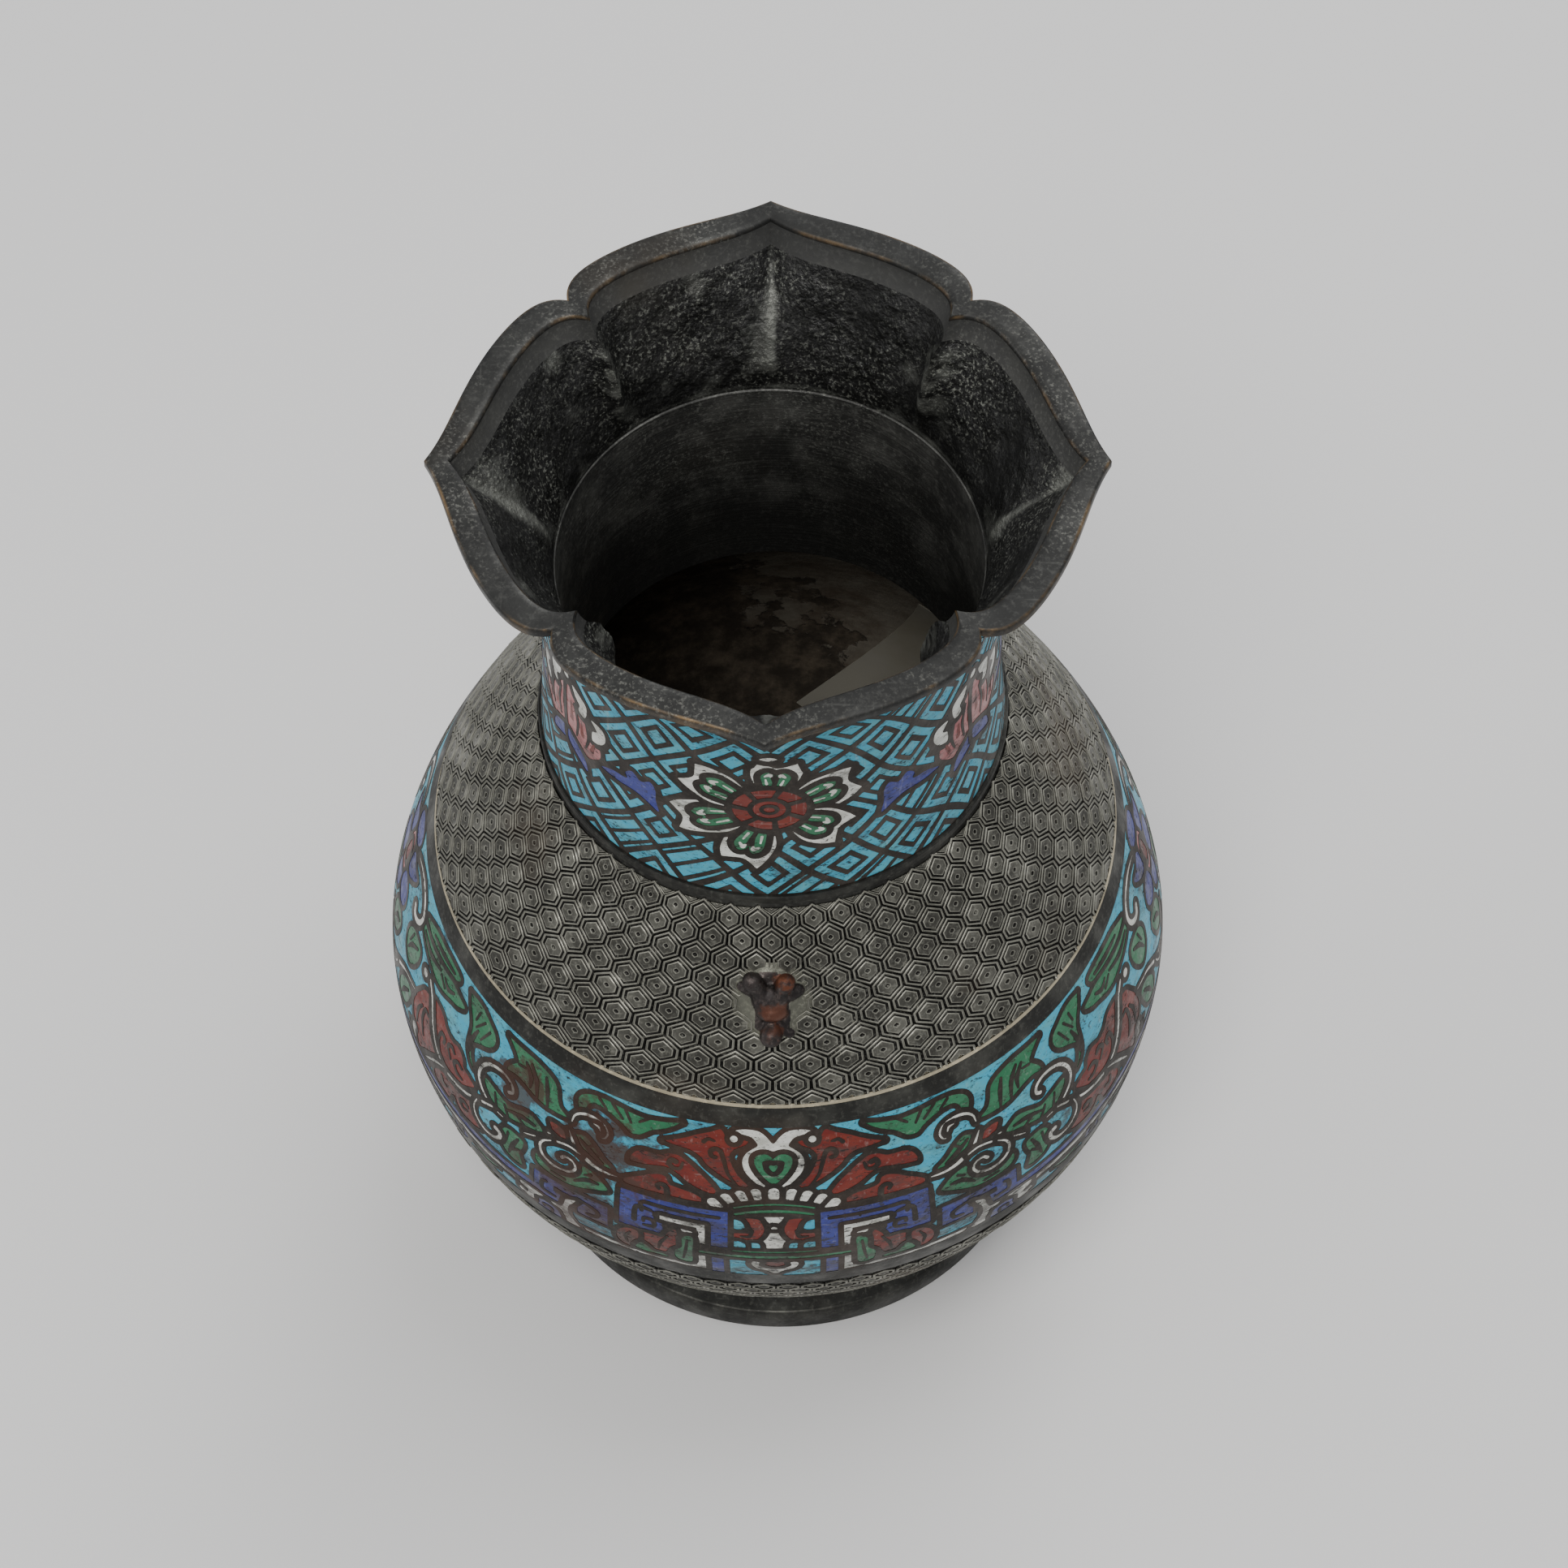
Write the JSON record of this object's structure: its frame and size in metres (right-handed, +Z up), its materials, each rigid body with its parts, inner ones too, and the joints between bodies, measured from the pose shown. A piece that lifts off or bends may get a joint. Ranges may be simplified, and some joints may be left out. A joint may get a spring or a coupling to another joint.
{
  "type": "champleve enamel vase",
  "caption": "Round-bellied cast bronze vase with a barbed mouth, enamelled neck and belly bands, hexagon diaper shoulders and a hollow foot.",
  "frame": {"origin": "on the vase's axis at the resting face of the foot", "axes": "+Z up along the vase's axis; -Y towards the front, where the cast boss and one point of the mouth are; +X to the right seen from the front"},
  "size_m": [0.211, 0.211, 0.308],
  "materials": {
    "bronze": "dark brown-black patinated bronze, worn brassy on edges",
    "bronze_rim": "dark gunmetal bronze, speckled",
    "boss_bronze": "red-brown worn bronze",
    "solder": "dull grey soft solder",
    "enamel_turquoise": "satin polished enamel",
    "enamel_white": "satin polished enamel",
    "enamel_green": "satin polished enamel",
    "enamel_red": "satin polished enamel",
    "enamel_blue": "satin polished enamel",
    "enamel_pink": "satin polished enamel",
    "paper": "aged blank paper"
  },
  "bodies": {
    "root": {"lip": "bronze_rim", "mouth": "bronze_rim", "neck": "bronze", "shoulder": "bronze", "belly": "bronze", "lower_body": "bronze", "foot_ring": "bronze", "base_plate": "bronze", "base_solder": "solder", "front_boss": "boss_bronze", "back_boss": "boss_bronze", "mouth_enamel_turquoise": "enamel_turquoise", "neck_enamel_turquoise": "enamel_turquoise", "neck_enamel_white": "enamel_white", "neck_enamel_green": "enamel_green", "neck_enamel_red": "enamel_red", "neck_enamel_blue": "enamel_blue", "neck_enamel_pink": "enamel_pink", "belly_enamel_turquoise": "enamel_turquoise", "belly_enamel_white": "enamel_white", "belly_enamel_green": "enamel_green", "belly_enamel_red": "enamel_red", "belly_enamel_blue": "enamel_blue", "inner_label": "paper"}
  },
  "joints": []
}
